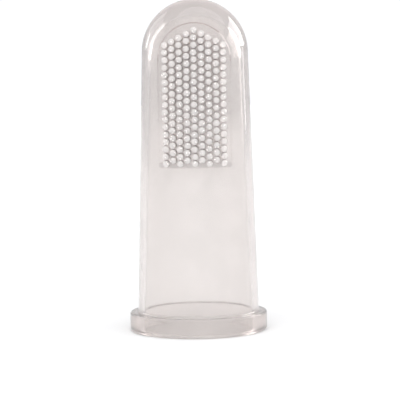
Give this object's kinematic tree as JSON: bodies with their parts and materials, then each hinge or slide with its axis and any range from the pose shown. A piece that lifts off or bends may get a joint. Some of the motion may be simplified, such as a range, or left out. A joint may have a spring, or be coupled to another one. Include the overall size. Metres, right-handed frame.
{
  "type": "pet finger toothbrush",
  "caption": "Clear silicone pet toothbrush worn on a finger: a domed, tapered thimble with a thick collar at its open mouth and a bed of short blunt bristles near its tip.",
  "frame": {"origin": "centre of the mouth, on the flat underside of the collar that the brush stands on", "axes": "+Z along the thimble's axis from the mouth to the domed tip; -Y is the side that the bristles point to; +X completes the frame"},
  "size_m": [0.025, 0.0259, 0.06],
  "materials": {
    "clear_silicone": "gloss",
    "bristle_silicone": "satin"
  },
  "bodies": {
    "root": {"finger_sleeve": "clear_silicone", "rim_collar": "clear_silicone", "brush_pad": "clear_silicone", "bristle_column_1": "bristle_silicone", "bristle_column_2": "bristle_silicone", "bristle_column_3": "bristle_silicone", "bristle_column_4": "bristle_silicone", "bristle_column_5": "bristle_silicone", "bristle_column_6": "bristle_silicone", "bristle_column_7": "bristle_silicone", "bristle_column_8": "bristle_silicone", "bristle_column_9": "bristle_silicone"}
  },
  "joints": []
}
